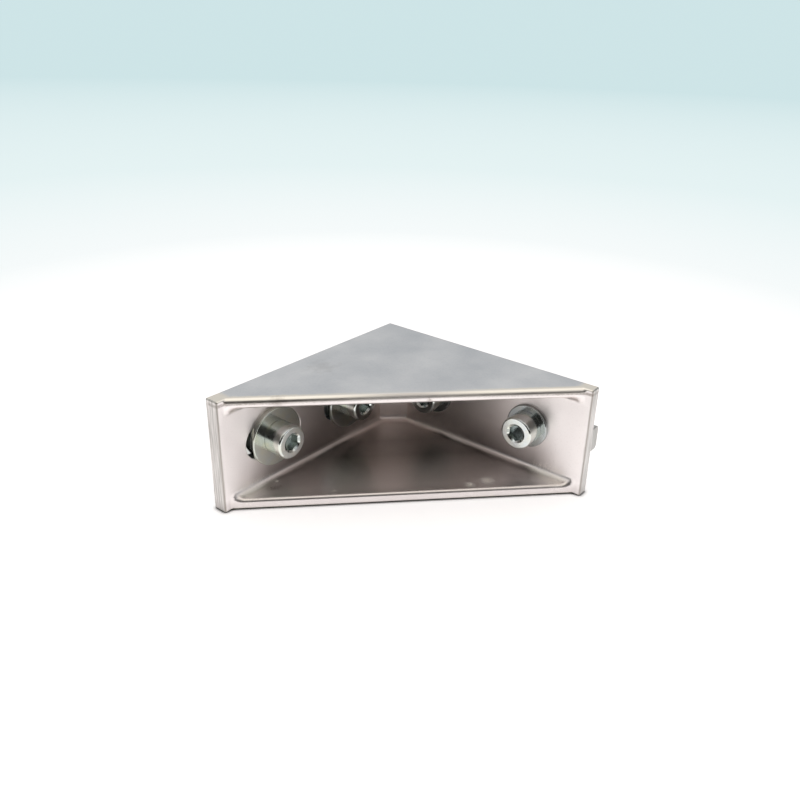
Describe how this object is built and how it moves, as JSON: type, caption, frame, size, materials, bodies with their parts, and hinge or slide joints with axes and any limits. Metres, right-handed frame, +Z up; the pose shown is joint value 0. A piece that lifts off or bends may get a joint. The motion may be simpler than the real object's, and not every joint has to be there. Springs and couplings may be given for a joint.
{
  "type": "corner bracket",
  "caption": "Cast aluminium corner bracket: slotted leg and lugged leg at a right angle, joined by triangular side walls, with socket screws, washers and slot nuts fitted.",
  "frame": {"origin": "outer corner where the planes of the two mounting faces meet, on the side wall that the bracket rests on", "axes": "+X along the slotted leg, +Y along the lugged leg, +Z up across the width; the mounting faces look along -Y and -X"},
  "size_m": [0.1094, 0.108, 0.045],
  "materials": {
    "cast_aluminium": "tumbled die casting, satin",
    "zinc_screw": "bright zinc plate",
    "zinc_washer": "bright zinc plate",
    "zinc_nut": "bright zinc plate"
  },
  "bodies": {
    "root": {"bracket_body": "cast_aluminium", "slot_leg_outer_screw": "zinc_screw", "slot_leg_inner_screw": "zinc_screw", "lug_leg_outer_screw": "zinc_screw", "lug_leg_inner_screw": "zinc_screw", "slot_leg_outer_washer": "zinc_washer", "slot_leg_inner_washer": "zinc_washer", "lug_leg_outer_washer": "zinc_washer", "lug_leg_inner_washer": "zinc_washer", "slot_leg_outer_nut": "zinc_nut", "slot_leg_inner_nut": "zinc_nut", "lug_leg_outer_nut": "zinc_nut", "lug_leg_inner_nut": "zinc_nut"}
  },
  "joints": []
}
